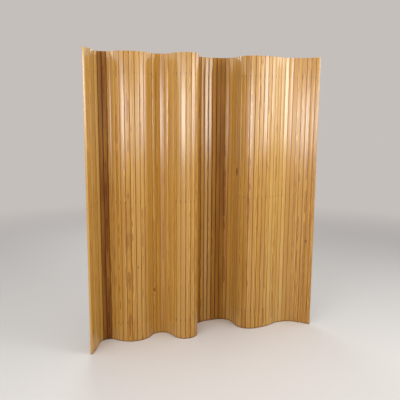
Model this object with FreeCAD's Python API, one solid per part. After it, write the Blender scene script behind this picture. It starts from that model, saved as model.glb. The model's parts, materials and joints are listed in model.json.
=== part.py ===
import FreeCAD, Part
import math
import os

from FreeCAD import Placement, Rotation, Vector

# A flexible screen of upright pine slats, strung side by side on two steel cables and stood in a wave.
# Each slat has a rounded nose on its right edge, which bears on the flat left edge of the next slat and
# turns about the line in the nose's middle, so every seam is a hinge. The cables cross that line too, so
# they keep their length when the screen bends. The flanks beside the nose stop a seam at its bend limit.
# The screen stands on z = 0, with the middle of its box over the origin. X runs along it from left to
# right and Y runs away from its front. Sizes are millimetres and angles are degrees.

# Slats
SLAT_HEIGHT = 2000.0
SLAT_PITCH = 33.0  # from one hinge axis to the next
SLAT_THICKNESS = 14.0
HINGE_CLEARANCE = 0.35  # between a nose and the edge that it bears on
BEND_LIMIT = 30.0  # how far a seam turns to each side
FLANK_RELIEF = 1.0  # how much further back than the bend limit the flanks fall
END_ROUNDING = 4.0  # outer corners of the two end slats

# Cables, and the crimped sleeves that stop their ends
CABLE_DIAMETER = 2.0
CABLE_CLEARANCE = 0.6  # between a cable and its channel
CABLE_BEND_RADIUS = 10.0
CABLE_SLIGHT_BEND = 23.0  # below this the bend at a seam is a plain corner
CABLE_INSET = 137.5  # from each end of the slats to the cable near it
CABLE_TAIL = 1.0  # what stands out of a stop
STOP_SIDES = 6
STOP_WALL = 1.5  # from the corners of the cable to the corners of the stop
STOP_LENGTH = 9.0
STOP_RECESS = 3.0  # from the outer edge of an end slat down to its stop
COUNTERBORE_CLEARANCE = 0.5  # between a stop and its counterbore

# How the screen stands: the stretches from left to right, each with its number of leaves, the slats
# that are one leaf and turn together, and the bend where each leaf begins.
FIRST_HEADING = 70.0
STRETCHES = (
    ("left wing", 2, 3, 6.0),
    ("left corner", 5, 1, -24.5),
    ("first bulge", 7, 1, 12.0),
    ("first flank", 1, 2, 19.0),
    ("first hollow", 5, 1, -22.5),
    ("second flank", 1, 2, -11.0),
    ("second bulge", 7, 1, 22.5),
    ("run back", 1, 2, 3.0),
    ("back turn", 5, 1, -13.5),
    ("back wall", 2, 2, -9.5),
    ("second hollow", 5, 1, -17.5),
    ("third flank", 1, 2, 2.5),
    ("third bulge", 4, 1, 19.5),
    ("rise", 3, 2, 10.5),
    ("right hollow", 5, 1, -10.5),
    ("right end", 2, 2, -9.0),
)

NOSE_RADIUS = SLAT_THICKNESS / 2
NOSE_HALF_ANGLE = BEND_LIMIT + FLANK_RELIEF
CHANNEL_HALF = CABLE_DIAMETER / 2 + CABLE_CLEARANCE
CABLE_HEIGHTS = {"cable_bottom": CABLE_INSET, "cable_top": SLAT_HEIGHT - CABLE_INSET}
STOP_RADIUS = CABLE_DIAMETER * math.sqrt(0.5) + STOP_WALL
COUNTERBORE_RADIUS = STOP_RADIUS + COUNTERBORE_CLEARANCE
COUNTERBORE_DEPTH = STOP_RECESS + STOP_LENGTH


def along(point, heading, distance):
    """The point at a distance from another in a heading."""
    turn = math.radians(heading)
    return Vector(point.x + distance * math.cos(turn), point.y + distance * math.sin(turn), point.z)


def chain(*steps):
    """A closed wire through points, where a pair of points is an arc through the first to the second."""
    edges = []
    start = steps[0]
    for step in (*steps[1:], steps[0]):
        if isinstance(step, tuple):
            edges.append(Part.Arc(start, *step).toShape())
            start = step[1]
        else:
            edges.append(Part.LineSegment(start, step).toShape())
            start = step
    return Part.Wire(edges)


def nose_edge():
    """The right edge of a slat from front to back: a flank, the nose about its hinge axis, a flank."""
    half_angle = math.radians(NOSE_HALF_ANGLE)
    round_x = SLAT_PITCH + NOSE_RADIUS * math.cos(half_angle)
    round_y = NOSE_RADIUS * math.sin(half_angle)
    shoulder_x = round_x - (NOSE_RADIUS - round_y) * math.tan(half_angle)
    return [
        Vector(shoulder_x, -NOSE_RADIUS, 0),
        Vector(round_x, -round_y, 0),
        (Vector(SLAT_PITCH + NOSE_RADIUS, 0, 0), Vector(round_x, round_y, 0)),
        Vector(shoulder_x, NOSE_RADIUS, 0),
    ]


def bearing_edge():
    """The left edge of a slat from back to front: flat, just clear of the nose about the origin."""
    edge_x = NOSE_RADIUS + HINGE_CLEARANCE
    return [Vector(edge_x, NOSE_RADIUS, 0), Vector(edge_x, -NOSE_RADIUS, 0)]


def outer_edge(edge_x, side):
    """The outer edge of an end slat, flat with rounded corners. side is 1 on the right and -1 on the left."""
    corner = END_ROUNDING * (1 - math.sqrt(0.5))
    inner_x, arc_x = edge_x - side * END_ROUNDING, edge_x - side * corner
    face_y, arc_y = side * NOSE_RADIUS, side * (NOSE_RADIUS - corner)
    flat_y = side * (NOSE_RADIUS - END_ROUNDING)
    return [
        Vector(inner_x, -face_y, 0),
        (Vector(arc_x, -arc_y, 0), Vector(edge_x, -flat_y, 0)),
        Vector(edge_x, flat_y, 0),
        (Vector(arc_x, arc_y, 0), Vector(inner_x, face_y, 0)),
    ]


def cable_channel(height, has_nose):
    """The way of a cable through a slat. It fans out in the nose, where the cable swings with the seam."""
    reach = NOSE_RADIUS + CABLE_CLEARANCE
    fan_half = CHANNEL_HALF + reach * math.tan(math.radians(BEND_LIMIT))
    right = [Vector(SLAT_PITCH, -CHANNEL_HALF, 0), Vector(SLAT_PITCH, CHANNEL_HALF, 0)]
    if has_nose:
        tip_x = SLAT_PITCH + reach
        right[1:1] = [Vector(tip_x, -fan_half, 0), Vector(tip_x, fan_half, 0)]
    outline = chain(Vector(0, CHANNEL_HALF, 0), Vector(0, -CHANNEL_HALF, 0), *right)
    way = Part.Face(outline).extrude(Vector(0, 0, 2 * CHANNEL_HALF))
    way.translate(Vector(0, 0, height - CHANNEL_HALF))
    return way


def counterbore(height, edge_x, inward):
    """The round recess in an end slat's outer edge that takes a cable stop."""
    mouth = Vector(edge_x, 0, height)
    return Part.makeCylinder(COUNTERBORE_RADIUS, COUNTERBORE_DEPTH, mouth, Vector(inward, 0, 0))


def make_slat(left_end=False, right_end=False):
    """One slat with its hinge axes on x = 0 and x = SLAT_PITCH, cut for the cables."""
    left = outer_edge(0, -1) if left_end else bearing_edge()
    right = outer_edge(SLAT_PITCH, 1) if right_end else nose_edge()
    slat = Part.Face(chain(*right, *left)).extrude(Vector(0, 0, SLAT_HEIGHT))
    cuts = []
    for height in CABLE_HEIGHTS.values():
        cuts.append(cable_channel(height, not right_end))
        if left_end:
            cuts.append(counterbore(height, 0, 1))
        if right_end:
            cuts.append(counterbore(height, SLAT_PITCH, -1))
    return slat.cut(cuts).Solids[0]


def make_stops(edge_x, inward):
    """The sleeves crimped on the cables' ends at one end of the screen, seated in their counterbores."""
    sleeves = []
    for height in CABLE_HEIGHTS.values():
        start = Vector(edge_x + inward * STOP_RECESS, 0, height)
        corners = []
        for number in range(STOP_SIDES):
            angle = 2 * math.pi * number / STOP_SIDES
            corners.append(start + Vector(0, STOP_RADIUS * math.cos(angle), STOP_RADIUS * math.sin(angle)))
        sleeve = Part.Face(chain(*corners)).extrude(Vector(inward * STOP_LENGTH, 0, 0))
        bore = Part.makeBox(STOP_LENGTH, CABLE_DIAMETER, CABLE_DIAMETER)
        bore.translate(Vector(min(start.x, start.x + inward * STOP_LENGTH), 0, height))
        bore.translate(Vector(0, -CABLE_DIAMETER / 2, -CABLE_DIAMETER / 2))
        sleeves.append(sleeve.cut(bore))
    return Part.makeCompound(sleeves)


def leaf_plan():
    """The leaves from left to right: name, first slat, slats, heading, bend before it and its left axis."""
    leaves = []
    point, heading, slat = Vector(0, 0, 0), FIRST_HEADING, 1
    for _, count, slats, bend in STRETCHES:
        for _ in range(count):
            heading += bend if leaves else 0
            last = slat + slats - 1
            name = f"slat_{slat:02d}" if slats == 1 else f"slats_{slat:02d}_to_{last:02d}"
            leaves.append(
                {"name": name, "slat": slat, "slats": slats, "heading": heading, "bend": bend, "axis": point}
            )
            point = along(point, heading, slats * SLAT_PITCH)
            slat = last + 1
    return leaves


def placed(shape, axis, heading):
    """A copy of a shape with its left hinge axis set on an axis of the plan, turned to a heading."""
    copy = shape.copy()
    copy.Placement = Placement(axis, Rotation(Vector(0, 0, 1), heading))
    return copy


def cable_side(leaves, offset):
    """One side of a cable in plan, at an offset to its left: straight in a leaf, bent at each hinge axis."""
    first, last = leaves[0], leaves[-1]
    inset = STOP_RECESS - CABLE_TAIL
    start = along(first["axis"], first["heading"], inset)
    steps = [along(start, first["heading"] + 90, offset)]
    for before, after in zip(leaves, leaves[1:]):
        half_turn = (after["heading"] - before["heading"]) / 2
        middle = before["heading"] + half_turn
        if abs(2 * half_turn) < CABLE_SLIGHT_BEND:
            steps.append(along(after["axis"], middle + 90, offset / math.cos(math.radians(half_turn))))
            continue
        tangent = CABLE_BEND_RADIUS * math.tan(math.radians(abs(half_turn)))
        sag = CABLE_BEND_RADIUS * (1 / math.cos(math.radians(half_turn)) - 1)
        arc_start = along(after["axis"], before["heading"], -tangent)
        arc_middle = along(after["axis"], middle + math.copysign(90, half_turn), sag)
        arc_end = along(after["axis"], after["heading"], tangent)
        steps.append(along(arc_start, before["heading"] + 90, offset))
        on_arc = along(arc_middle, middle + 90, offset)
        steps.append((on_arc, along(arc_end, after["heading"] + 90, offset)))
    end = along(last["axis"], last["heading"], last["slats"] * SLAT_PITCH - inset)
    steps.append(along(end, last["heading"] + 90, offset))
    return steps


def backwards(steps):
    """The same line of points and arcs, walked from its end."""
    ends = [step[1] if isinstance(step, tuple) else step for step in steps]
    walked = [ends[-1]]
    for step, end in zip(steps[:0:-1], ends[-2::-1]):
        walked.append((step[0], end) if isinstance(step, tuple) else end)
    return walked


def make_cable(leaves, height):
    """One cable from stop to stop, square in section to stand for its twisted strands."""
    half = CABLE_DIAMETER / 2
    outline = chain(*cable_side(leaves, -half), *backwards(cable_side(leaves, half)))
    cable = Part.Face(outline).extrude(Vector(0, 0, CABLE_DIAMETER))
    cable.translate(Vector(0, 0, height - half))
    print(f"cable at {height:.0f}: length {cable.Volume / CABLE_DIAMETER**2:.1f}")
    return cable


def make_nodes(leaves):
    """Every node of the screen by name, before the screen is centred."""
    plain, first_slat, last_slat = make_slat(), make_slat(left_end=True), make_slat(right_end=True)
    total = sum(leaf["slats"] for leaf in leaves)
    nodes = {}
    for leaf in leaves:
        solids = []
        for step in range(leaf["slats"]):
            slat = {1: first_slat, total: last_slat}.get(leaf["slat"] + step, plain)
            axis = along(leaf["axis"], leaf["heading"], step * SLAT_PITCH)
            solids.append(placed(slat, axis, leaf["heading"]))
        nodes[leaf["name"]] = solids[0] if len(solids) == 1 else Part.makeCompound(solids)
    first, last = leaves[0], leaves[-1]
    last_edge = last["slats"] * SLAT_PITCH
    nodes["left_cable_stops"] = placed(make_stops(0, 1), first["axis"], first["heading"])
    nodes["right_cable_stops"] = placed(make_stops(last_edge, -1), last["axis"], last["heading"])
    for name, height in CABLE_HEIGHTS.items():
        nodes[name] = make_cable(leaves, height)
    return nodes


def centre_of(nodes):
    """The middle of the screen's plan."""
    box = Part.makeCompound(list(nodes.values())).optimalBoundingBox(False, False)
    return Vector(box.Center.x, box.Center.y, 0)


def main():
    leaves = leaf_plan()
    nodes = make_nodes(leaves)
    centre = centre_of(nodes)
    os.makedirs("parts", exist_ok=True)
    for name, shape in nodes.items():
        shape.translate(-centre)
        shape.exportStep(f"parts/{name}.step")
    slats = sum(leaf["slats"] for leaf in leaves)
    print(f"{slats} slats in {len(leaves)} leaves, {len(nodes)} nodes, {slats * SLAT_PITCH:.0f} long")
    print(f"hinge bends up to {max(abs(leaf['bend']) for leaf in leaves[1:]):.1f} degrees")


if __name__ == "__main__":
    main()
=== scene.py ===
# %% [markdown]
# A flexible screen of upright pine slats, dressed around its imported model. The slats are strung side by
# side on three hidden steel cables, and each seam turns, so the screen stands in a wave of its own.
# The imported model comes first, because it says where every slat is and what turns about what. Its box is
# kept from the start, and the slats' height is taken from it.

# %% Load the imported model
import json
import math
import random

import bpy
from mathutils import Matrix, Vector


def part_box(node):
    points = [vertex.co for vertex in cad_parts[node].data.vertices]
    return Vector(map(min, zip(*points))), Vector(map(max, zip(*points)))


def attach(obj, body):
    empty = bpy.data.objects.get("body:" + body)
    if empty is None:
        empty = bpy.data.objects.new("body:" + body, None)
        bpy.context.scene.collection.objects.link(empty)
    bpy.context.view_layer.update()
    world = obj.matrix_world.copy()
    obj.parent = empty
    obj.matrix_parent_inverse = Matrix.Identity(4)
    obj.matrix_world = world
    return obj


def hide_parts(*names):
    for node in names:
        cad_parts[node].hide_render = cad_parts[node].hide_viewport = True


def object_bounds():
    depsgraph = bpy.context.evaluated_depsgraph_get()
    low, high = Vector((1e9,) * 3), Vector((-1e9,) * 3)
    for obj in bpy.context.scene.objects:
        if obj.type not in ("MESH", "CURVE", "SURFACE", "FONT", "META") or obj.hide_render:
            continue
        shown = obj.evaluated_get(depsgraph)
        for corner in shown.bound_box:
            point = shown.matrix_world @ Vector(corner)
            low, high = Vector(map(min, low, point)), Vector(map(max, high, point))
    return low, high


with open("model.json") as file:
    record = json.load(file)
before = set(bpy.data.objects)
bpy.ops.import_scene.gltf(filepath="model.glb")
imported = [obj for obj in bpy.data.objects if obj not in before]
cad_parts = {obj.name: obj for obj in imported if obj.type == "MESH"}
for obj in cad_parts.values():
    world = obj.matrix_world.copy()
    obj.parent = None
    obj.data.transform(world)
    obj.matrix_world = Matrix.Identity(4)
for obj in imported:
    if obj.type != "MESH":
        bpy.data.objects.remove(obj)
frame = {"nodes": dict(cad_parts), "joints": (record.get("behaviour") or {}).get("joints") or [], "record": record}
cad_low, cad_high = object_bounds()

print("packed box", [round(high - low, 4) for low, high in zip(cad_low, cad_high)])

# %% [markdown]
# The camera stands in front of the screen's left half, at the eye height of a standing person, and looks
# slightly down. Its lens, heading, tilt and lean were found by fitting the floor line and the top line of
# the screen. It is turned by three plain rotations, one after the other, because they keep the heading,
# the tilt and the lean apart as three numbers that can be read and changed.

# %% Camera
CAMERA_PLACE = Vector((-0.7985, -3.6296, 1.602))
CAMERA_HEADING = math.radians(-11.8)
CAMERA_TILT = math.radians(90 - 9.336)
CAMERA_LEAN = math.radians(0.383)
LENS = 47.477
SENSOR = 36

bpy.ops.object.select_all(action="DESELECT")
bpy.ops.object.camera_add()
camera = bpy.context.object
camera.name = "camera"
camera.data.lens = LENS
camera.data.sensor_width = SENSOR
camera.matrix_world = (
    Matrix.Translation(CAMERA_PLACE)
    @ Matrix.Rotation(CAMERA_HEADING, 4, "Z")
    @ Matrix.Rotation(CAMERA_TILT, 4, "X")
    @ Matrix.Rotation(CAMERA_LEAN, 4, "Z")
)
bpy.context.scene.camera = camera
print("camera", [round(value, 3) for value in camera.location], "lens", LENS)

# %% [markdown]
# The slats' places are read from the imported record. Every hinge line of the screen is listed there, so the
# slats between two neighbouring lines follow from their distance. The two end leaves have a line on one
# side only, and the middle of their cable stops lies on their centre line, which gives the other end.

# %% Where every slat stands
SLAT_PITCH = 0.033

seam_points = {}
for joint in frame["joints"]:
    slat_after = int(joint["name"].split("_")[-1])
    seam_points[slat_after] = Vector(joint["pos_m"])


def middle_of(node):
    low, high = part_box(node)
    return Vector(((low.x + high.x) / 2, (low.y + high.y) / 2, 0))


def slat_numbers(node):
    """The first and last slat of a leaf, from its node's name."""
    numbers = [int(word) for word in node.split("_") if word.isdigit()]
    return numbers[0], numbers[-1]


leaves = []
for body, nodes in frame["record"]["behaviour"]["bodies"].items():
    node = next(name for name in nodes if name.startswith("slat"))
    first, last = slat_numbers(node)
    start = seam_points.get(first, middle_of("left_cable_stops"))
    end = seam_points.get(last + 1, middle_of("right_cable_stops"))
    along = (end - start).normalized()
    if first not in seam_points:
        start = end - along * SLAT_PITCH * (last - first + 1)
    leaves.append({"body": body, "node": node, "first": first, "last": last, "start": start, "along": along})
leaves.sort(key=lambda leaf: leaf["first"])
SLATS = leaves[-1]["last"]
print(len(leaves), "leaves,", SLATS, "slats")

# %% [markdown]
# Modelling by hand means picking an edge or a face and using a tool on it. A script has no mouse, so it
# picks by place and direction: everything is deselected, the wanted edges or faces are marked, and the
# tool then runs in edit mode. These few helpers do the picking for every piece that follows.

# %% Helpers for modelling
SLACK = 1e-5
STRAIGHT = 0.9


def block(name, low, high):
    """A box between two corners, the only object selected."""
    bpy.ops.object.select_all(action="DESELECT")
    low, high = Vector(low), Vector(high)
    bpy.ops.mesh.primitive_cube_add(size=1, location=(low + high) / 2)
    made = bpy.context.object
    made.name = name
    made.scale = high - low
    bpy.ops.object.transform_apply(location=True, rotation=True, scale=True)
    return made


def round_bar(sides, radius, length, middle_x, height):
    """A bar along X, the only object selected."""
    bpy.ops.object.select_all(action="DESELECT")
    bpy.ops.mesh.primitive_cylinder_add(
        vertices=sides,
        radius=radius,
        depth=length,
        location=(middle_x, 0, height),
        rotation=(0, math.pi / 2, 0),
    )
    bpy.ops.object.transform_apply(location=True, rotation=True, scale=True)
    return bpy.context.object


def clear_selection(kind):
    """Nothing selected, with vertices, edges or faces as what is picked."""
    bpy.ops.object.mode_set(mode="EDIT")
    bpy.ops.mesh.select_mode(type=kind)
    bpy.ops.mesh.select_all(action="DESELECT")
    bpy.ops.object.mode_set(mode="OBJECT")


def pick_edges(piece, wanted):
    """Edit mode with the edges selected whose middle and direction are wanted."""
    clear_selection("EDGE")
    mesh = piece.data
    for edge in mesh.edges:
        one, two = (mesh.vertices[index].co for index in edge.vertices)
        edge.select = wanted((one + two) / 2, (two - one).normalized())
    bpy.ops.object.mode_set(mode="EDIT")


def pick_faces(piece, wanted):
    """Edit mode with the faces selected whose normal is wanted."""
    clear_selection("FACE")
    for face in piece.data.polygons:
        face.select = wanted(face.normal)
    bpy.ops.object.mode_set(mode="EDIT")


def round_picked(offset, steps):
    """Rounds the picked edges and leaves edit mode."""
    bpy.ops.mesh.bevel(offset=offset, segments=steps, affect="EDGES")
    bpy.ops.object.mode_set(mode="OBJECT")


def near(value, target, slack=SLACK):
    return abs(value - target) < slack


def is_upright(along):
    return abs(along.z) > STRAIGHT


print(len(frame["nodes"]), "packed nodes to dress")

# %% [markdown]
# A slat's left edge is flat and its right edge is a round nose, which bears on the next slat's flat edge
# and turns there. Two slanted flanks leave room for the turn. A flank touches the nose's circle, so the
# ridge that the flanks leave is as wide as two tangents of that circle, and the sizes follow from that.

# %% The slat's own sizes
THICKNESS = 0.014
HEIGHT = cad_high.z - cad_low.z
NOSE_RADIUS = THICKNESS / 2
HINGE_CLEARANCE = 0.00035
FLANK_ANGLE = math.radians(31)
NOSE_TIP = SLAT_PITCH + NOSE_RADIUS
BEARING_EDGE = NOSE_RADIUS + HINGE_CLEARANCE
RIDGE = NOSE_RADIUS * math.tan(FLANK_ANGLE / 2)
SHOULDER = NOSE_TIP - (NOSE_RADIUS - RIDGE) * math.tan(FLANK_ANGLE)

print("slat", THICKNESS, "thick,", round(HEIGHT, 4), "high, face", round(SHOULDER - BEARING_EDGE, 4), "wide")

# %% [markdown]
# One slat is modelled by hand and copied. It starts as a block. The flanks are cut with two planes, and the
# ridge between them is rounded into the nose: rounding its two lines by the tangent's length gives the
# circle itself. Then the sharp arrises are eased, as a joiner does with two strokes of a plane. The same
# shape could be drawn as a profile and extruded, but cutting and rounding follow how a slat is made.

# %% Nose, outer edge and arrises
EASED_ARRIS = 0.0007
ARRIS_STEPS = 2
SHOULDER_SLACK = 1e-4
END_ROUNDING = 0.004
END_STEPS = 6
NOSE_STEPS = 5
NOSE_SHARE = 0.999


def add_nose(slat):
    """Cuts both flanks and rounds the ridge between them."""
    for side in (-1, 1):
        bpy.ops.object.mode_set(mode="EDIT")
        bpy.ops.mesh.select_all(action="SELECT")
        bpy.ops.mesh.bisect(
            plane_co=(SHOULDER, side * NOSE_RADIUS, 0),
            plane_no=(math.cos(FLANK_ANGLE), side * math.sin(FLANK_ANGLE), 0),
            use_fill=True,
            clear_outer=True,
        )
        bpy.ops.object.mode_set(mode="OBJECT")
    pick_edges(slat, lambda middle, along: is_upright(along) and near(middle.x, NOSE_TIP))
    round_picked(RIDGE * NOSE_SHARE, NOSE_STEPS)


def round_outer_edge(slat, edge_x):
    """Rounds the free edge of an end slat."""
    pick_edges(slat, lambda middle, along: is_upright(along) and near(middle.x, edge_x))
    round_picked(END_ROUNDING, END_STEPS)


def ease_arrises(slat):
    """Takes the sharpness off the arrises of the faces and the ends."""

    def is_arris(middle, along):
        at_end = near(middle.z, 0) or near(middle.z, HEIGHT)
        on_face = near(abs(middle.y), NOSE_RADIUS)
        at_edge = near(middle.x, BEARING_EDGE) or near(middle.x, SHOULDER, SHOULDER_SLACK)
        return at_end or (on_face and at_edge and is_upright(along))

    pick_edges(slat, is_arris)
    round_picked(EASED_ARRIS, ARRIS_STEPS)


print("nose of", NOSE_RADIUS, "radius, flanks at", round(math.degrees(FLANK_ANGLE)), "degrees")

# %% [markdown]
# The cables run through the slats in three channels, which fan out in the nose, where a cable swings as
# the seam turns. A channel is a long block whose last face is extruded and widened, and the slat is cut
# with it by a Boolean modifier, because a hole through a solid board is easiest to make by taking its
# shape away. The free edges of the two end slats also have round recesses for the cables' sleeves.

# %% Channels and recesses
CABLE_DIAMETER = 0.002
CABLE_CLEARANCE = 0.0006
BEND_LIMIT = math.radians(30)
CHANNEL_HALF = CABLE_DIAMETER / 2 + CABLE_CLEARANCE
CABLE_HEIGHTS = [sum(corner.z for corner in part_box(node)) / 2 for node in ("cable_bottom", "cable_top")]
CABLE_HEIGHTS.insert(1, sum(CABLE_HEIGHTS) / 2)
RECESS_RADIUS = 0.0034
RECESS_DEPTH = 0.012
RECESS_SIDES = 32


def channel_cutter(height, has_nose):
    cutter = block(
        "channel",
        (-CABLE_DIAMETER, -CHANNEL_HALF, height - CHANNEL_HALF),
        (SLAT_PITCH, CHANNEL_HALF, height + CHANNEL_HALF),
    )
    if has_nose:
        reach = NOSE_RADIUS + CABLE_CLEARANCE
        widening = 1 + reach * math.tan(BEND_LIMIT) / CHANNEL_HALF
        pick_faces(cutter, lambda normal: normal.x > STRAIGHT)
        bpy.ops.mesh.extrude_region_move(TRANSFORM_OT_translate={"value": (reach, 0, 0)})
        bpy.ops.transform.resize(value=(1, widening, 1))
        bpy.ops.object.mode_set(mode="OBJECT")
    return cutter


def recess_cutter(height, edge_x):
    return round_bar(RECESS_SIDES, RECESS_RADIUS, 2 * RECESS_DEPTH, edge_x, height)


def cut_away(piece, cutter):
    """Cuts one object out of another and deletes the cutter."""
    modifier = piece.modifiers.new("cut", "BOOLEAN")
    modifier.object = cutter
    modifier.solver = "EXACT"
    bpy.ops.object.select_all(action="DESELECT")
    bpy.context.view_layer.objects.active = piece
    piece.select_set(True)
    bpy.ops.object.modifier_apply(modifier=modifier.name)
    bpy.data.objects.remove(cutter, do_unlink=True)


print("channels at", [round(height, 4) for height in CABLE_HEIGHTS])

# %% [markdown]
# There are three kinds of slat: the plain one, and one for each end of the screen, with a rounded free
# edge. Each is modelled once, in a frame of its own: X runs along the screen from the slat's left hinge
# line, and Z runs up from the floor. So a copy only has to be turned and moved.

# %% Model the three kinds of slat
SLAT_SMOOTHING = math.radians(25)


def model_slat(name, left_end=False, right_end=False):
    left_x = 0 if left_end else BEARING_EDGE
    right_x = SLAT_PITCH if right_end else NOSE_TIP
    slat = block(name, (left_x, -NOSE_RADIUS, 0), (right_x, NOSE_RADIUS, HEIGHT))
    if not right_end:
        add_nose(slat)
    if left_end:
        round_outer_edge(slat, 0)
    if right_end:
        round_outer_edge(slat, SLAT_PITCH)
    ease_arrises(slat)
    for height in CABLE_HEIGHTS:
        cut_away(slat, channel_cutter(height, not right_end))
        if left_end:
            cut_away(slat, recess_cutter(height, 0))
        if right_end:
            cut_away(slat, recess_cutter(height, SLAT_PITCH))
    bpy.ops.object.shade_smooth_by_angle(angle=SLAT_SMOOTHING)
    print(name, len(slat.data.polygons), "faces")
    return slat


plain_slat = model_slat("plain_slat")
left_end_slat = model_slat("left_end_slat", left_end=True)
right_end_slat = model_slat("right_end_slat", right_end=True)

# %% [markdown]
# No two boards are alike. Each has its own numbers: where in its log it was cut, how far its grain leans,
# how pale it is, how glossy its varnish still is, and where a knot lies. The numbers are drawn from a
# seeded source, so that every run gives the same boards. Boards that stand out on the real screen, as
# pale, deep, glossy, dull or knotty, are listed here by their number, counted from the left. Some tone shifts
# are painted light and shade: boards 8, 9 and 44 to 46 in the hollows and board 40 at a step are deepened
# partly as painted shade, and boards 50 to 52 are paled as painted light. In the deep hollows a dark line runs
# along the edges of some boards, partly old polish and partly painted shade, and those boards are listed too.

# %% Boards that stand out
TONE_LIGHT_AND_SHADE_SHIFTS = {
    0.3: (3, 4, 5, 6, 11, 26, 60, 61, 62, 64),
    0.2: (50, 51),
    0.15: (1, 2, 7, 25, 27, 28, 52, 59, 63),
    0.1: (20, 48, 49),
    -0.1: (54, 69),
    -0.2: (40, 41, 47),
    -0.24: (14, 44, 45, 46),
    -0.33: (8,),
    -0.42: (9,),
}
SHINES = {
    1.0: (11, 29, 42, 43, 55, 58, 61, 62, 64, 69),
    0.5: (14, 41, 47, 54, 57, 59),
    0.05: (8, 9, 22, 40, 44, 45, 46),
}
# Boards in the hollows whose edges get a dark line, partly old polish and partly painted shade in the closed
# creases.
EDGE_POLISH_AND_SHADE = {
    0.9: (8, 9, 10),
    0.7: (40, 41, 42, 43, 44, 45, 46),
    0.5: (47, 48, 49, 50, 51),
}
KNOTS = {
    16: (0.018, 0.54, 0.004),
    21: (0.013, 0.34, 0.006),
    51: (0.022, 1.18, 0.013),
    70: (0.014, 0.65, 0.006),
}
NO_KNOT = 0, -3, 0.001


def listed(table, number, otherwise):
    """The key under which a table lists a board."""
    return next((key for key, boards in table.items() if number in boards), otherwise)


print(sum(len(boards) for boards in TONE_LIGHT_AND_SHADE_SHIFTS.values()), "boards out of tone,", len(KNOTS), "with a knot")

# %% [markdown]
# The numbers are stored on the mesh, where the material can read them, together with the board's own
# coordinates, because the grain has to follow the board when it turns with its leaf. Two more numbers say
# how deep a point lies in the seam and how far it is across the front face.

# %% What makes each board its own
PITH_REACHES = (-0.03, 0.03), (0.015, 0.07), (0, 40)
TONES = 0.36, 0.52
USUAL_SHINE = 0.75, 0.95
GRAIN_LEAN = 0.006
SEAM_DEPTH = 0.0035
BOARD_MIDDLE = SLAT_PITCH / 2 + NOSE_RADIUS / 2
FACE_MIDDLE = (BEARING_EDGE + SHOULDER) / 2
FACE_HALF = (SHOULDER - BEARING_EDGE) / 2
OUTER_SIDES = {1: -1, SLATS: 1}

draw = random.Random(71)


def add_numbers(slat, name, values, kind="FLOAT"):
    attribute = slat.data.attributes.new(name, kind, "POINT")
    attribute.data.foreach_set("vector" if kind == "FLOAT_VECTOR" else "value", values)


def make_board(slat, number):
    """Stores on a slat, still in its own frame, what its grain and varnish need."""
    pith = Vector([draw.uniform(*reach) for reach in PITH_REACHES])
    tone = draw.uniform(*TONES) + listed(TONE_LIGHT_AND_SHADE_SHIFTS, number, 0)
    shine = listed(SHINES, number, draw.uniform(*USUAL_SHINE))
    lean = draw.uniform(-GRAIN_LEAN, GRAIN_LEAN)
    knot_x, knot_z, knot_radius = KNOTS.get(number, NO_KNOT)
    knot = Vector((knot_x - BOARD_MIDDLE + pith.x + lean * knot_z, knot_radius, pith.z + knot_z))
    board, seam, face = [], [], []
    for vertex in slat.data.vertices:
        x, y, z = vertex.co
        board += [x - BOARD_MIDDLE + pith.x + lean * z, y + pith.y, z + pith.z]
        depth = min(1, (NOSE_RADIUS - abs(y)) / SEAM_DEPTH)
        at_outer_edge = OUTER_SIDES.get(number, 0) * (x - BOARD_MIDDLE) > 0
        at_end = min(z, HEIGHT - z) < EASED_ARRIS / 2
        seam.append(0 if at_outer_edge or at_end else depth)
        face.append((x - FACE_MIDDLE) / FACE_HALF if y < 0 else 0)
    count = len(slat.data.vertices)
    add_numbers(slat, "board", board, "FLOAT_VECTOR")
    add_numbers(slat, "knot", list(knot) * count, "FLOAT_VECTOR")
    add_numbers(slat, "tone", [tone] * count)
    add_numbers(slat, "shine", [shine] * count)
    add_numbers(slat, "seam", seam)
    add_numbers(slat, "face", face)
    add_numbers(slat, "polish_and_shade", [listed(EDGE_POLISH_AND_SHADE, number, 0)] * count)


print("front face", round(2 * FACE_HALF, 4), "wide, middle at", round(FACE_MIDDLE, 4))

# %% [markdown]
# Each copy gets a mesh of its own, since its numbers differ. Its place goes into the mesh and the object
# stays at the origin, so that the copy sits in the frame just as a imported piece does. Then it is hung on the
# leaf it rides on, and the imported piece that it stands in for is hidden.

# %% Copy the slats into place
def stand(piece, leaf, slats_on=0):
    """Moves a mesh from a slat's own frame to its place in a leaf."""
    turn = Matrix.Rotation(math.atan2(leaf["along"].y, leaf["along"].x), 4, "Z")
    place = leaf["start"] + leaf["along"] * SLAT_PITCH * slats_on
    piece.data.transform(Matrix.Translation(place) @ turn)


slats = []
for leaf in leaves:
    for number in range(leaf["first"], leaf["last"] + 1):
        kind = {1: left_end_slat, SLATS: right_end_slat}.get(number, plain_slat)
        slat = bpy.data.objects.new(f"pine_slat_{number:02d}", kind.data.copy())
        bpy.context.scene.collection.objects.link(slat)
        make_board(slat, number)
        stand(slat, leaf, number - leaf["first"])
        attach(slat, leaf["body"])
        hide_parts(leaf["node"])
        slats.append(slat)
for kind in (plain_slat, left_end_slat, right_end_slat):
    bpy.data.objects.remove(kind, do_unlink=True)
print(len(slats), "slats in place")

# %% [markdown]
# The three cables are twisted from six strands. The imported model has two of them, each as one bar that
# doesn't bend, so here every leaf gets its own runs, which ride with it and meet their neighbours on the
# hinge lines. A run is a ring of strand tops and valleys, extruded in short steps and turned a little at
# each, like rope. A screw modifier could do the same, but the steps show how the lay of a rope comes about.

# %% Cable runs
STRANDS = 6
LAY_STEPS = 12
LAY_TURN = math.radians(30)
STRAND_VALLEY = 0.8
CABLE_LAP = 0.0002
CABLE_SMOOTHING = math.radians(50)
STOP_INSET = 0.002


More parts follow.
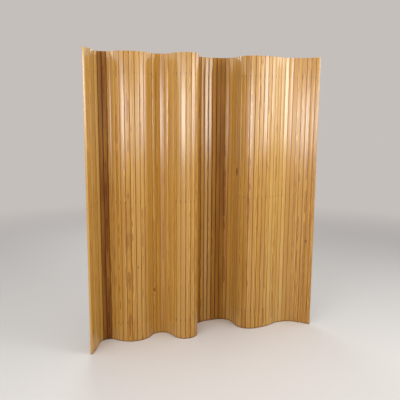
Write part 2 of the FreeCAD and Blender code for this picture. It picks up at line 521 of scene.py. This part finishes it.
def model_cable(name, start_x, end_x):
    """One twisted run along X, closed at both ends."""
    bpy.ops.object.select_all(action="DESELECT")
    bpy.ops.mesh.primitive_circle_add(
        vertices=2 * STRANDS,
        radius=CABLE_DIAMETER / 2,
        fill_type="NGON",
        location=(start_x, 0, 0),
        rotation=(0, math.pi / 2, 0),
    )
    run = bpy.context.object
    run.name = name
    bpy.ops.object.transform_apply(location=True, rotation=True, scale=True)
    clear_selection("VERT")
    for index, vertex in enumerate(run.data.vertices):
        vertex.select = index % 2 == 1
    bpy.ops.object.mode_set(mode="EDIT")
    bpy.ops.transform.resize(value=(1, STRAND_VALLEY, STRAND_VALLEY), center_override=(start_x, 0, 0))
    bpy.ops.mesh.select_all(action="SELECT")
    step = (end_x - start_x) / LAY_STEPS
    for number in range(1, LAY_STEPS + 1):
        bpy.ops.mesh.extrude_region_move(TRANSFORM_OT_translate={"value": (step, 0, 0)})
        centre = start_x + number * step, 0, 0
        bpy.ops.transform.rotate(value=LAY_TURN, orient_axis="X", center_override=centre)
    bpy.ops.mesh.select_all(action="SELECT")
    bpy.ops.mesh.normals_make_consistent(inside=False)
    bpy.ops.object.mode_set(mode="OBJECT")
    return run


def lay_cable(leaf):
    """The runs of all cables through the slats of one leaf, as one piece."""
    length = SLAT_PITCH * (leaf["last"] - leaf["first"] + 1)
    start_x = STOP_INSET if leaf["first"] == 1 else -CABLE_LAP
    end_x = length - STOP_INSET if leaf["last"] == SLATS else length + CABLE_LAP
    run = model_cable(f"cable_runs_{leaf['first']:02d}", start_x, end_x)
    run.data.transform(Matrix.Translation((0, 0, CABLE_HEIGHTS[0])))
    bpy.ops.object.mode_set(mode="EDIT")
    bpy.ops.mesh.select_all(action="SELECT")
    for lower, upper in zip(CABLE_HEIGHTS, CABLE_HEIGHTS[1:]):
        bpy.ops.mesh.duplicate_move(TRANSFORM_OT_translate={"value": (0, 0, upper - lower)})
    bpy.ops.object.mode_set(mode="OBJECT")
    bpy.ops.object.shade_smooth_by_angle(angle=CABLE_SMOOTHING)
    stand(run, leaf)
    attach(run, leaf["body"])
    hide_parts("cable_bottom", "cable_top")
    return run


cables = [lay_cable(leaf) for leaf in leaves]
print(len(cables), "pieces of cable,", len(cables[0].data.polygons), "faces in one")

# %% [markdown]
# A cable ends in a sleeve, which is crimped on it and sits in the recess of the end slat's outer edge. The
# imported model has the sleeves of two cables. The middle cable gets the same ones here: a six-sided bar with
# eased ends, bored for the cable.

# %% Sleeves of the middle cable
STOP_SIDES = 6
STOP_RADIUS = 0.0029
STOP_LENGTH = 0.009
STOP_RECESS = 0.003
STOP_EASING = 0.0003
BORE_SIDES = 24


def add_stop(name, leaf, edge_x, inward):
    """One sleeve in the outer edge of an end slat."""
    middle_x = edge_x + inward * (STOP_RECESS + STOP_LENGTH / 2)
    stop = round_bar(STOP_SIDES, STOP_RADIUS, STOP_LENGTH, middle_x, CABLE_HEIGHTS[1])
    stop.name = name
    pick_edges(stop, lambda middle, along: abs(along.x) < STRAIGHT)
    round_picked(STOP_EASING, ARRIS_STEPS)
    cut_away(stop, round_bar(BORE_SIDES, CABLE_DIAMETER / 2, 2 * STOP_LENGTH, middle_x, CABLE_HEIGHTS[1]))
    stand(stop, leaf)
    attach(stop, leaf["body"])
    return stop


last_edge = SLAT_PITCH * (leaves[-1]["last"] - leaves[-1]["first"] + 1)
stops = [
    add_stop("middle_stop_left", leaves[0], 0, 1),
    add_stop("middle_stop_right", leaves[-1], last_edge, -1),
]
print("sleeves", [stop.name for stop in stops], len(stops[0].data.polygons), "faces in one")

# %% [markdown]
# The finishes come next. A finish is built from shader nodes, each of which does one small sum for every
# point of the surface. Added by hand, they would be wired up with the mouse. Here each helper adds one
# node, feeds it and gives back its output, so that the finishes read like the sums they are.

# %% Node helpers
def feed(tree, value, socket):
    """Sets a socket to a number, a vector or a colour, or links an output to it."""
    if isinstance(value, (int, float)):
        socket.default_value = value
    elif isinstance(value, tuple):
        socket.default_value = (*value, 1)[:len(socket.default_value)]
    elif value is not None:
        tree.links.new(value, socket)


def math_node(tree, operation, first, second=None, third=None):
    node = tree.nodes.new("ShaderNodeMath")
    node.operation = operation
    for socket, value in zip(node.inputs, (first, second, third)):
        feed(tree, value, socket)
    return node.outputs[0]


def vector_node(tree, operation, first, second=None):
    node = tree.nodes.new("ShaderNodeVectorMath")
    node.operation = operation
    for socket, value in zip(node.inputs, (first, second)):
        feed(tree, value, socket)
    return node.outputs["Value" if operation == "LENGTH" else "Vector"]


def part_of(tree, vector, axis):
    """One of a vector's three numbers."""
    node = tree.nodes.new("ShaderNodeSeparateXYZ")
    feed(tree, vector, node.inputs[0])
    return node.outputs[axis]


def noise_node(tree, vector, stretch, detail):
    """Noise with its own scale along each axis of a vector."""
    mapping = tree.nodes.new("ShaderNodeMapping")
    feed(tree, stretch, mapping.inputs["Scale"])
    feed(tree, vector, mapping.inputs["Vector"])
    noise = tree.nodes.new("ShaderNodeTexNoise")
    feed(tree, 1, noise.inputs["Scale"])
    feed(tree, detail, noise.inputs["Detail"])
    feed(tree, mapping.outputs["Vector"], noise.inputs["Vector"])
    return noise.outputs["Fac"]


def ramp_node(tree, value, low, high):
    """0 at low and 1 at high, smooth between."""
    ramp = tree.nodes.new("ShaderNodeMapRange")
    ramp.interpolation_type = "SMOOTHSTEP"
    feed(tree, low, ramp.inputs["From Min"])
    feed(tree, high, ramp.inputs["From Max"])
    feed(tree, value, ramp.inputs["Value"])
    return ramp.outputs["Result"]


def mix_colour(tree, share, first, second, blend="MIX"):
    mix = tree.nodes.new("ShaderNodeMix")
    mix.data_type = "RGBA"
    mix.blend_type = blend
    for socket, value in zip((mix.inputs[0], mix.inputs[6], mix.inputs[7]), (share, first, second)):
        feed(tree, value, socket)
    return mix.outputs[2]


def colours_along(tree, value, colours):
    """A colour ramp from a value to the colours at their places."""
    ramp = tree.nodes.new("ShaderNodeValToRGB")
    while len(ramp.color_ramp.elements) < len(colours):
        ramp.color_ramp.elements.new(0.5)
    for element, (place, colour) in zip(ramp.color_ramp.elements, sorted(colours.items())):
        element.position = place
        element.color = (*colour, 1)
    feed(tree, value, ramp.inputs["Fac"])
    return ramp.outputs["Color"]


def new_group(name, inputs, outputs):
    """A shader node group with named sockets, and its two end nodes."""
    group = bpy.data.node_groups.new(name, "ShaderNodeTree")
    for socket, kind in inputs.items():
        group.interface.new_socket(socket, in_out="INPUT", socket_type=kind)
    for socket, kind in outputs.items():
        group.interface.new_socket(socket, in_out="OUTPUT", socket_type=kind)
    return group, group.nodes.new("NodeGroupInput"), group.nodes.new("NodeGroupOutput")


print("shader nodes of Blender", bpy.app.version_string)

# %% [markdown]
# A knot is where a branch left the trunk. It is a dark oval, longer along the grain than across, and the
# growth rings bend round it. So the group starts with the distance from the knot, measured in knot radii:
# a short one is the knot itself, and a longer one is the wood that it pushes aside. The group puts out
# masks only, and the material turns them into colour.

# %% Knots in the grain
KNOT_STRETCH = 0.42
KNOT_RIM = 1.15, 0.75
KNOT_HALO = 4.5, 0.6

grain, grain_in, grain_out = new_group(
    "Pine grain",
    {"Board": "NodeSocketVector", "Knot": "NodeSocketVector"},
    {mask: "NodeSocketFloat" for mask in ("Late wood", "Fibre", "Cloud", "Knot")},
)
board_in, knot_in = grain_in.outputs["Board"], grain_in.outputs["Knot"]
to_knot = vector_node(grain, "SUBTRACT", board_in, knot_in)
from_knot = vector_node(grain, "MULTIPLY", to_knot, (1, 0, KNOT_STRETCH))
knot_distance = vector_node(grain, "LENGTH", from_knot)
from_core = math_node(grain, "DIVIDE", knot_distance, part_of(grain, knot_in, "Y"))
around_knot = ramp_node(grain, from_core, *KNOT_HALO)
feed(grain, ramp_node(grain, from_core, *KNOT_RIM), grain_out.inputs["Knot"])
print("knot mask:", len(grain.nodes), "nodes")

# %% [markdown]
# Pine shows its growth rings: wide pale early wood and narrow dark late wood, in long stripes that waver
# along the board. A ring is a circle about the pith of the log, so the stripes come from the distance to
# the pith, bent by a slow noise and pushed aside by a knot. Each ring darkens slowly and ends sharply, as
# a summer's growth does. Fine fibres and soft clouds are two more noises, drawn out along the board. An
# image could show one board, but sums give every board a grain of its own.

# %% Growth rings and fibres
RING_SPACING = 0.0042
RING_WAVER = 0.009
RING_FLAME = 0.006
KNOT_PUSH = 0.007
WAVER_NOISE = (14, 14, 1.6), 1.5
FLAME_NOISE = (26, 26, 9), 1.0
FIBRE_NOISE = (1400, 1400, 16), 3
CLOUD_NOISE = (40, 40, 2.2), 2
LATE_WOOD_STARTS = 0.35, 0.88
LATE_WOOD_ENDS = 1.0, 0.93

to_pith = vector_node(grain, "LENGTH", vector_node(grain, "MULTIPLY", board_in, (1, 1, 0)))
waver = math_node(grain, "MULTIPLY", noise_node(grain, board_in, *WAVER_NOISE), RING_WAVER)
ring_place = math_node(grain, "ADD", to_pith, waver)
flame = noise_node(grain, board_in, *FLAME_NOISE)
ring_place = math_node(grain, "MULTIPLY_ADD", flame, RING_FLAME, ring_place)
ring_place = math_node(grain, "MULTIPLY_ADD", around_knot, KNOT_PUSH, ring_place)
ring_phase = math_node(grain, "FRACT", math_node(grain, "DIVIDE", ring_place, RING_SPACING))
rising = ramp_node(grain, ring_phase, *LATE_WOOD_STARTS)
falling = ramp_node(grain, ring_phase, *LATE_WOOD_ENDS)
feed(grain, math_node(grain, "MULTIPLY", rising, falling), grain_out.inputs["Late wood"])
feed(grain, noise_node(grain, board_in, *FIBRE_NOISE), grain_out.inputs["Fibre"])
feed(grain, noise_node(grain, board_in, *CLOUD_NOISE), grain_out.inputs["Cloud"])
print("pine grain:", len(grain.nodes), "nodes")

# %% [markdown]
# Old varnish has turned the pine honey and amber. Early and late wood each have a ramp of colours from deep
# to pale, and a board's tone, with a slow cloud added, says how far along both ramps it lies. So a deep
# board gets redder as well as darker, as varnish does where it lies thick.

# %% Colours of the wood
EARLY_WOOD = {0.0: (0.2, 0.062, 0.006), 0.3: (0.51, 0.25, 0.031), 1.0: (0.71, 0.45, 0.125)}
LATE_WOOD = {0.0: (0.11, 0.028, 0.002), 0.3: (0.31, 0.112, 0.011), 1.0: (0.51, 0.255, 0.048)}
KNOT_BROWN = (0.15, 0.046, 0.005)
KNOT_SHARE = 0.85
CLOUD_SPREAD = 0.4
LATE_SHARE = 0.75
FIBRE_SHARE, FIBRE_BASE = 0.5, -0.2

pine = bpy.data.materials.new("varnished_pine")
pine.use_nodes = True
tree = pine.node_tree
shader = tree.nodes["Principled BSDF"]


def read_number(name, output="Fac"):
    attribute = tree.nodes.new("ShaderNodeAttribute")
    attribute.attribute_name = name
    return attribute.outputs[output]


pattern = tree.nodes.new("ShaderNodeGroup")
pattern.node_tree = grain
feed(tree, read_number("board", "Vector"), pattern.inputs["Board"])
feed(tree, read_number("knot", "Vector"), pattern.inputs["Knot"])
cloud = math_node(tree, "MULTIPLY_ADD", pattern.outputs["Cloud"], CLOUD_SPREAD, -CLOUD_SPREAD / 2)
tone = math_node(tree, "ADD", read_number("tone"), cloud)
early = colours_along(tree, tone, EARLY_WOOD)
late = colours_along(tree, tone, LATE_WOOD)
fibre = math_node(tree, "MULTIPLY_ADD", pattern.outputs["Fibre"], FIBRE_SHARE, FIBRE_BASE)
stripes = math_node(tree, "MULTIPLY_ADD", pattern.outputs["Late wood"], LATE_SHARE, fibre)
wood = mix_colour(tree, stripes, early, late)
knot_mask = math_node(tree, "MULTIPLY", pattern.outputs["Knot"], KNOT_SHARE)
wood = mix_colour(tree, knot_mask, wood, KNOT_BROWN)
print("wood:", len(tree.nodes), "nodes so far")

# %% [markdown]
# The end grain at the top and the foot drinks more varnish, so it is darker, and the lowest strip, which
# stands on the floor, is darker too. The end is found by its normal, which points up or down, and the foot by
# its height. Both multiply the wood by a colour, which keeps the grain in sight.

# %% Ends and feet
END_FACING = 0.75, 0.95
END_GRAIN = (0.62, 0.50, 0.40)
FOOT_DARKENING = (0.45, 0.36, 0.28)
FOOT_HEIGHT = 0.014

facing = tree.nodes.new("ShaderNodeNewGeometry")
upward = math_node(tree, "ABSOLUTE", part_of(tree, facing.outputs["Normal"], "Z"))
at_end = ramp_node(tree, upward, *END_FACING)
wood = mix_colour(tree, at_end, wood, mix_colour(tree, 1.0, wood, END_GRAIN, "MULTIPLY"))
coordinates = tree.nodes.new("ShaderNodeTexCoord")
height = part_of(tree, coordinates.outputs["Object"], "Z")
at_foot = ramp_node(tree, height, FOOT_HEIGHT, 0.0)
wood = mix_colour(tree, at_foot, wood, mix_colour(tree, 1.0, wood, FOOT_DARKENING, "MULTIPLY"))
print("ends and feet:", len(tree.nodes), "nodes so far")

# %% [markdown]
# The sides of the seams are darkened with their depth, partly by dust and old varnish and partly as painted
# shade that deepens the grooves. Along the edges of the boards in the hollows runs a dark line, partly old
# polish and partly painted shade in the closed creases, and where the cables cross a seam, grime from the
# steel makes small dark marks. All three are masks from the numbers on the mesh, laid over the wood one
# after the other.

# %% Seams and edge lines with painted shade, and grime
SEAM_DUST_AND_SHADE = (0.12, 0.042, 0.009)
SEAM_DARKNESS = 0.5
POLISH_AND_SHADE_BROWN = (0.045, 0.016, 0.004)
POLISH_AND_SHADE_SHARE = 0.85
POLISH_AND_SHADE_LINE = 0.0028
POLISH_AND_SHADE_CORE = 0.4
POLISH_DULLS = 0.7
CABLE_GRIME = (0.03, 0.011, 0.003)
GRIME_SHARE = 0.7
GRIME_REACH = 0.012
GRIME_CORE = 0.3
GROOVE = 0.0, 0.2

# The seams darken with depth: partly dust and old varnish, partly painted shade that deepens the grooves.
seam = math_node(tree, "MULTIPLY", read_number("seam"), SEAM_DARKNESS)
wood = mix_colour(tree, seam, wood, SEAM_DUST_AND_SHADE)

# The dark lines along the edges of boards in the hollows are partly old polish and partly painted shade.
line_share = POLISH_AND_SHADE_LINE / FACE_HALF
to_edge = math_node(tree, "ABSOLUTE", read_number("face"))
edge_line = ramp_node(tree, to_edge, 1 - line_share, 1 - POLISH_AND_SHADE_CORE * line_share)
edge_line = math_node(tree, "MULTIPLY", edge_line, read_number("polish_and_shade"))
on_side = math_node(tree, "MULTIPLY_ADD", at_end, -POLISH_AND_SHADE_SHARE, POLISH_AND_SHADE_SHARE)
edge_line = math_node(tree, "MULTIPLY", edge_line, on_side)
wood = mix_colour(tree, edge_line, wood, POLISH_AND_SHADE_BROWN)
open_wood = math_node(tree, "MAXIMUM", seam, math_node(tree, "MULTIPLY", edge_line, POLISH_DULLS))

at_cables = 0.0
for cable_height in CABLE_HEIGHTS:
    away = math_node(tree, "ABSOLUTE", math_node(tree, "SUBTRACT", height, cable_height))
    mark = ramp_node(tree, away, GRIME_REACH, GRIME_CORE * GRIME_REACH)
    at_cables = math_node(tree, "MAXIMUM", mark, at_cables)
groove = ramp_node(tree, read_number("seam"), *GROOVE)
grime = math_node(tree, "MULTIPLY", math_node(tree, "MULTIPLY", groove, at_cables), GRIME_SHARE)
feed(tree, mix_colour(tree, grime, wood, CABLE_GRIME), shader.inputs["Base Color"])
print("seams, polish and grime:", len(tree.nodes), "nodes so far")

# %% [markdown]
# The varnish lies on the wood as a clear satin coat, which is a part of the Principled shader and needs no
# second material. It is glossy on some boards and nearly gone on others, worn towards the foot, and open in
# the seams, on the dark edge lines and on the end grain. Late wood and knots stand a little proud of the
# shrunken early wood, which a Bump node shows well enough at a fifth of a millimetre.

# %% The coat of varnish
MATT_ROUGHNESS = 0.6
SHINE_SMOOTHS = 0.3
FIBRE_ROUGHENS = 0.16
END_ROUGHENS = 0.2
SEAM_OPENS = 1.4
END_OPENS = 0.9
WEAR_HEIGHTS = 0.4, 1.7
WORN_COAT = 0.5
UNDER_COAT_SPECULAR = 0.2
COAT_IOR = 1.9
COAT_ROUGHNESS = 0.27
RELIEF_STRENGTH = 0.35
RELIEF_HEIGHT = 0.0002


def dress(pieces, material):
    for piece in pieces:
        piece.data.materials.clear()
        piece.data.materials.append(material)


shine = read_number("shine")
rough = math_node(tree, "MULTIPLY_ADD", shine, -SHINE_SMOOTHS, MATT_ROUGHNESS)
rough = math_node(tree, "MULTIPLY_ADD", pattern.outputs["Fibre"], FIBRE_ROUGHENS, rough)
feed(tree, math_node(tree, "MULTIPLY_ADD", at_end, END_ROUGHENS, rough), shader.inputs["Roughness"])
coat = math_node(tree, "MULTIPLY_ADD", open_wood, -SEAM_OPENS, 1.0)
coat = math_node(tree, "MULTIPLY", coat, math_node(tree, "MULTIPLY_ADD", at_end, -END_OPENS, 1.0))
unworn = ramp_node(tree, height, *WEAR_HEIGHTS)
coat = math_node(tree, "MULTIPLY", coat, math_node(tree, "MULTIPLY_ADD", unworn, 1 - WORN_COAT, WORN_COAT))
feed(tree, math_node(tree, "MULTIPLY", shine, coat), shader.inputs["Coat Weight"])
shader.inputs["Specular IOR Level"].default_value = UNDER_COAT_SPECULAR
shader.inputs["Coat IOR"].default_value = COAT_IOR
shader.inputs["Coat Roughness"].default_value = COAT_ROUGHNESS
relief = tree.nodes.new("ShaderNodeBump")
relief.inputs["Strength"].default_value = RELIEF_STRENGTH
relief.inputs["Distance"].default_value = RELIEF_HEIGHT
feed(tree, math_node(tree, "ADD", stripes, pattern.outputs["Knot"]), relief.inputs["Height"])
feed(tree, relief.outputs["Normal"], shader.inputs["Normal"])
dress(slats, pine)
print("varnished pine on", len(slats), "slats")

# %% [markdown]
# The cables and their crimped sleeves are bare steel, dulled by a thin grey film that comes and goes. Both
# finishes use one group for that film, each with its own scale, because the cable is so much finer.

# %% Drawn steel
FILM_DETAIL = 4
FILM_EDGE = 0.35, 0.7
BARE_ROUGHNESS = 0.28
FILM_ROUGHENS = 0.25
STEELS = {
    "cable_steel": (900, (0.55, 0.55, 0.54), (0.34, 0.33, 0.31)),
    "crimped_steel": (400, (0.62, 0.61, 0.58), (0.40, 0.38, 0.35)),
}

film, film_in, film_out = new_group(
    "Steel film", {"Place": "NodeSocketVector", "Scale": "NodeSocketFloat"}, {"Film": "NodeSocketFloat"}
)
film_noise = film.nodes.new("ShaderNodeTexNoise")
feed(film, FILM_DETAIL, film_noise.inputs["Detail"])
feed(film, film_in.outputs["Place"], film_noise.inputs["Vector"])
feed(film, film_in.outputs["Scale"], film_noise.inputs["Scale"])
feed(film, ramp_node(film, film_noise.outputs["Fac"], *FILM_EDGE), film_out.inputs["Film"])


def steel(name, film_scale, bright, dull):
    material = bpy.data.materials.new(name)
    material.use_nodes = True
    nodes = material.node_tree
    body = nodes.nodes["Principled BSDF"]
    place = nodes.nodes.new("ShaderNodeTexCoord")
    haze = nodes.nodes.new("ShaderNodeGroup")
    haze.node_tree = film
    haze.inputs["Scale"].default_value = film_scale
    feed(nodes, place.outputs["Object"], haze.inputs["Place"])
    filmed = haze.outputs["Film"]
    feed(nodes, mix_colour(nodes, filmed, bright, dull), body.inputs["Base Color"])
    rough = math_node(nodes, "MULTIPLY_ADD", filmed, FILM_ROUGHENS, BARE_ROUGHNESS)
    feed(nodes, rough, body.inputs["Roughness"])
    body.inputs["Metallic"].default_value = 1
    return material


cable_steel, stop_steel = (steel(name, *finish) for name, finish in STEELS.items())
packed_stops = [frame["nodes"][name] for name in ("left_cable_stops", "right_cable_stops")]
dress(cables, cable_steel)
dress(stops + packed_stops, stop_steel)
print("steel on", len(cables), "cable pieces,", len(stops), "sleeves and", len(packed_stops), "packed pairs")

# %% [markdown]
# The screen stands on a plain pale floor. Near the screen the floor is paint that takes light and shadow.
# Far off it fades into the colour of the backdrop, but only for what the camera sees, straight or in a
# reflection, so that the pale surroundings add no light to the screen.

# %% Floor
FLOOR_SIZE = 60
FLOOR_COLOUR = (0.72, 0.70, 0.68)
FLOOR_ROUGHNESS = 0.6
FLOOR_FADE = 2.2, 6.0
BACKDROP = (0.555, 0.52, 0.50)


def seen_rays(tree):
    """1 for what the camera sees, straight or in a reflection, and 0 for light on the object."""
    path = tree.nodes.new("ShaderNodeLightPath")
    seen = math_node(tree, "MAXIMUM", path.outputs["Is Camera Ray"], path.outputs["Is Glossy Ray"])
    return math_node(tree, "MAXIMUM", seen, path.outputs["Is Transmission Ray"])


bpy.ops.object.select_all(action="DESELECT")
bpy.ops.mesh.primitive_plane_add(size=FLOOR_SIZE)
floor = bpy.context.object
floor.name = "floor"
paint = bpy.data.materials.new("pale_floor")
paint.use_nodes = True
floor_tree = paint.node_tree
floor_shader = floor_tree.nodes["Principled BSDF"]
feed(floor_tree, FLOOR_COLOUR, floor_shader.inputs["Base Color"])
feed(floor_tree, FLOOR_ROUGHNESS, floor_shader.inputs["Roughness"])
glow = floor_tree.nodes.new("ShaderNodeEmission")
feed(floor_tree, BACKDROP, glow.inputs["Color"])
floor_place = floor_tree.nodes.new("ShaderNodeTexCoord")
from_middle = vector_node(floor_tree, "LENGTH", floor_place.outputs["Object"])
far_off = ramp_node(floor_tree, from_middle, *FLOOR_FADE)
fade = floor_tree.nodes.new("ShaderNodeMixShader")
feed(floor_tree, math_node(floor_tree, "MULTIPLY", far_off, seen_rays(floor_tree)), fade.inputs[0])
feed(floor_tree, floor_shader.outputs[0], fade.inputs[1])
feed(floor_tree, glow.outputs[0], fade.inputs[2])
feed(floor_tree, fade.outputs[0], floor_tree.nodes["Material Output"].inputs["Surface"])
floor.data.materials.append(paint)
print("floor", FLOOR_SIZE, "across, fades from", FLOOR_FADE[0], "to", FLOOR_FADE[1])

# %% [markdown]
# The light is that of a plain studio, from wide lamps that make soft shadows. Two soft boxes stand in front,
# to the right and the left of the camera. Long panels to the left, to the right and behind the camera are
# what the varnish mirrors, and they stand high, so that it shines in its upper half. A narrow panel straight
# behind the screen lights its back, narrow so that it leaves no white glare along the top of the left end. The
# last one lights the floor from overhead. Each lamp is given by its place, its aim, its width and height, and
# its watts.

# %% Lamps
LAMPS = {
    "right_box": ((1.95, -1.75, 2.3), (0.1, 0, 1.5), (1.3, 1.6), 33),
    "left_box": ((-2.9, -3.6, 2.5), (-0.4, 0, 1.6), (2.6, 1.8), 84),
    "left_panel": ((-3.9, -0.6, 2.5), (0, 0, 1.8), (4.4, 2.0), 52),
    "right_panel": ((3.6, 0.2, 2.6), (0.2, 0, 1.8), (4.0, 1.8), 46),
    "front_panel": ((0.3, -4.8, 2.5), (0.1, 0, 1.9), (5.0, 1.8), 58),
    "back_panel": ((-0.2, 4.4, 2.8), (0, 0, 1.3), (2.2, 1.8), 58),
    "overhead": ((0, -0.9, 4.2), (0, -0.3, 0), (4, 4), 45),
}


def soft_box(name, place, aim, size, watts):
    bpy.ops.object.select_all(action="DESELECT")
    bpy.ops.object.light_add(type="AREA", location=place)
    lamp = bpy.context.object
    lamp.name = name
    lamp.data.shape = "RECTANGLE"
    lamp.data.size, lamp.data.size_y = size
    lamp.data.energy = watts
    lamp.visible_camera = False
    lamp.rotation_mode = "QUATERNION"
    lamp.rotation_quaternion = (Vector(aim) - Vector(place)).to_track_quat("-Z", "Y")


for name, setting in LAMPS.items():
    soft_box(name, *setting)
print(len(LAMPS), "lamps,", sum(setting[-1] for setting in LAMPS.values()), "watts")

# %% [markdown]
# The world has the backdrop's colour. Where the camera sees it, straight or in a reflection, it is as bright as
# that colour. As a light it is dimmed to a fifth, which is enough to fill the shadows. The Standard view shows
# colours as they are written.

# %% World and view
WORLD_LEVEL = 0.2

world = bpy.data.worlds.new("studio")
bpy.context.scene.world = world
world.use_nodes = True
world_tree = world.node_tree
sky = world_tree.nodes["Background"]
feed(world_tree, BACKDROP, sky.inputs["Color"])
level = math_node(world_tree, "MULTIPLY_ADD", seen_rays(world_tree), 1 - WORLD_LEVEL, WORLD_LEVEL)
feed(world_tree, level, sky.inputs["Strength"])
bpy.context.scene.view_settings.view_transform = "Standard"
print("world at", WORLD_LEVEL, "of the backdrop's brightness")
